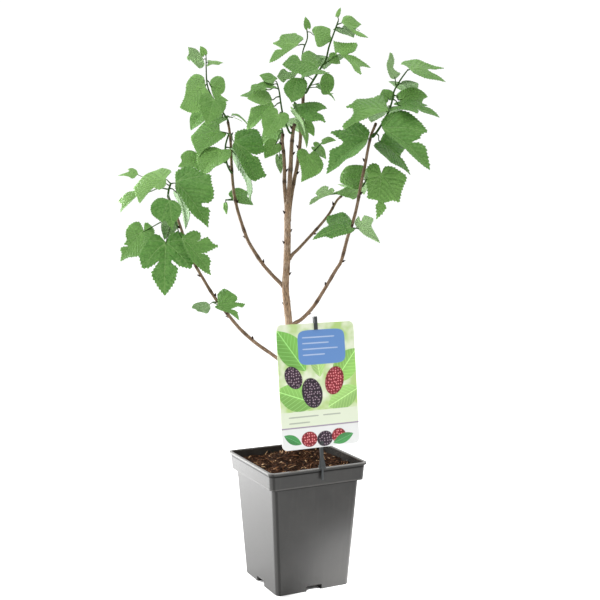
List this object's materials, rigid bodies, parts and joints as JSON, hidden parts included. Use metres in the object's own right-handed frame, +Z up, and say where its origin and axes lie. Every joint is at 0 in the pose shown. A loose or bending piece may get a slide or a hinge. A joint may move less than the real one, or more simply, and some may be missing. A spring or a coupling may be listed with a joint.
{
  "type": "potted black mulberry tree",
  "caption": "Young black mulberry tree with lobed leaves, rooted in a square nursery pot of bark compost, with a plant label clipped to the rim.",
  "frame": {"origin": "centre of the pot's underside, on the surface that it stands on", "axes": "+Z up along the trunk; -Y out of the pot's front wall, where the label is clipped; +X to that wall's right"},
  "size_m": [0.3556, 0.2605, 0.7129],
  "materials": {
    "pot_plastic": "satin",
    "potting_mix": "rough",
    "printed_card": "satin print",
    "stake_plastic": "satin",
    "bark": "rough",
    "leaf": "soft satin"
  },
  "bodies": {
    "root": {"pot": "pot_plastic", "potting_mix": "potting_mix", "label_card": "printed_card", "label_stake": "stake_plastic", "woody_stem": "bark", "leafy_shoot_lower_left": "leaf", "leafy_shoot_lower_spur": "leaf", "leafy_shoot_lower_twig": "leaf", "leafy_shoot_left_spur": "leaf", "leafy_shoot_upper_left_side": "leaf", "leafy_shoot_upper_left_top": "leaf", "leafy_shoot_centre_left": "leaf", "leafy_shoot_centre_back": "leaf", "leafy_shoot_top_right": "leaf", "leafy_shoot_top": "leaf", "leafy_shoot_centre": "leaf", "leafy_shoot_centre_twig": "leaf", "leafy_shoot_right_top": "leaf", "leafy_shoot_right_middle": "leaf", "leafy_shoot_middle_branch": "leaf", "leafy_shoot_right_spur": "leaf"}
  },
  "joints": []
}
